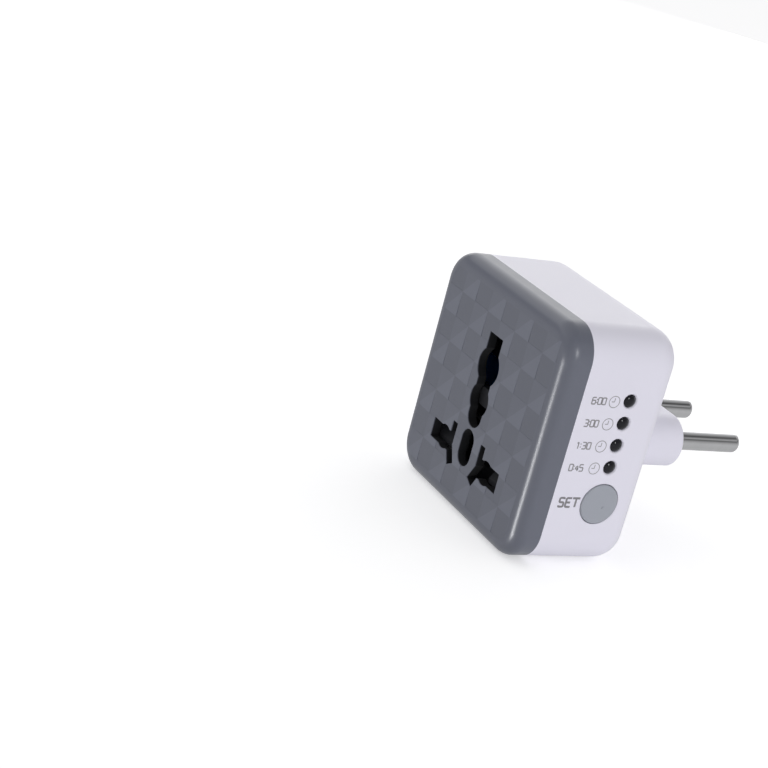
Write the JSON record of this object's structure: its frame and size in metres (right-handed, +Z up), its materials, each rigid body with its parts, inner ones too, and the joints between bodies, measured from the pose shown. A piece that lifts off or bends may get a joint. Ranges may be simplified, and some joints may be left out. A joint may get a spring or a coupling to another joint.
{
  "type": "plug-in timer switch",
  "caption": "Plug-through countdown timer: square two-tone case with a shuttered universal socket in front, side lamps and set button, and a flat nose with two round plug pins behind.",
  "frame": {"origin": "centre of the plug nose's end face, midway between the two pins, where the plug seats on a wall socket", "axes": "+Y out of the nose along the pins, into the wall; +Z up; +X to the side with the lamps and the button, on the right as seen from the front"},
  "size_m": [0.0533, 0.0647, 0.053],
  "materials": {
    "cover": "fine moulded satin",
    "housing": "fine moulded satin",
    "steel": "zinc plated",
    "pin": "nickel plated",
    "insulator": "plain moulded",
    "carrier": "plain moulded",
    "contact": "stamped phosphor bronze",
    "shutter": "plain moulded",
    "button": "fine moulded satin",
    "black_plastic": "plain moulded",
    "lamp": "dark tinted epoxy",
    "board": "solder mask",
    "chip": "moulded package",
    "relay_base": "plain moulded",
    "relay_shell": "plain moulded",
    "coil": "enamelled copper wire",
    "iron": "plated iron",
    "film_case": "potted box",
    "sleeve": "shrunk sleeve",
    "zener_glass": "glass body",
    "resistor_green": "lacquered",
    "resistor_tan": "lacquered",
    "varistor_blue": "dipped epoxy"
  },
  "bodies": {
    "case": {"front_cover": "cover", "rear_housing": "housing", "housing_screws": "steel", "line_pin": "pin", "neutral_pin": "pin", "pin_retainer": "insulator", "retainer_screw": "steel", "contact_carrier": "carrier", "carrier_screws": "steel", "line_contact": "contact", "neutral_contact": "contact", "shutter_springs": "steel", "tact_switch_body": "black_plastic", "led_1": "lamp", "led_2": "lamp", "led_3": "lamp", "led_4": "lamp", "led_holder": "black_plastic", "control_pcb": "board", "controller_chip": "chip", "header_pins": "contact", "main_pcb": "board", "relay_base": "relay_base", "relay_cover": "relay_shell", "relay_coil": "coil", "relay_yoke": "iron", "relay_contact": "contact", "film_capacitor": "film_case", "electrolytic_capacitor": "sleeve", "rectifier_diodes": "black_plastic", "zener_diode": "zener_glass", "fusible_resistor": "resistor_green", "bleed_resistors": "resistor_tan", "driver_transistor": "chip", "varistor": "varistor_blue"},
    "shutter": {"safety_shutter": "shutter"},
    "button": {"set_button": "button"},
    "plunger": {"tact_plunger": "black_plastic"},
    "armature": {"relay_armature": "iron"}
  },
  "joints": [
    {"name": "shutter_slide", "type": "slide", "parent": "case", "child": "shutter", "axis": [0, 0, -1], "range_m": [0, 0.0054], "stiffness_N_per_m": 40, "springref_m": -0.002, "deforming": ["shutter_springs"]},
    {"name": "set_button_press", "type": "slide", "parent": "case", "child": "button", "axis": [-1, 0, 0], "range_m": [0, 0.0003], "stiffness_N_per_m": 150, "springref_m": -0.0003},
    {"name": "tact_plunger_press", "type": "slide", "parent": "case", "child": "plunger", "axis": [-1, 0, 0], "range_m": [0, 0.0003]},
    {"name": "relay_armature_swing", "type": "hinge", "parent": "case", "child": "armature", "pos_m": [-0.0205, -0.02905, 0.00512], "axis": [-1, 0, 0], "range_deg": [0, 5], "stiffness_Nm_per_rad": 0.0002, "springref_deg": -5.73}
  ],
  "couplings": [
    {"joint": "tact_plunger_press", "follows": "set_button_press", "ratio": 1}
  ]
}
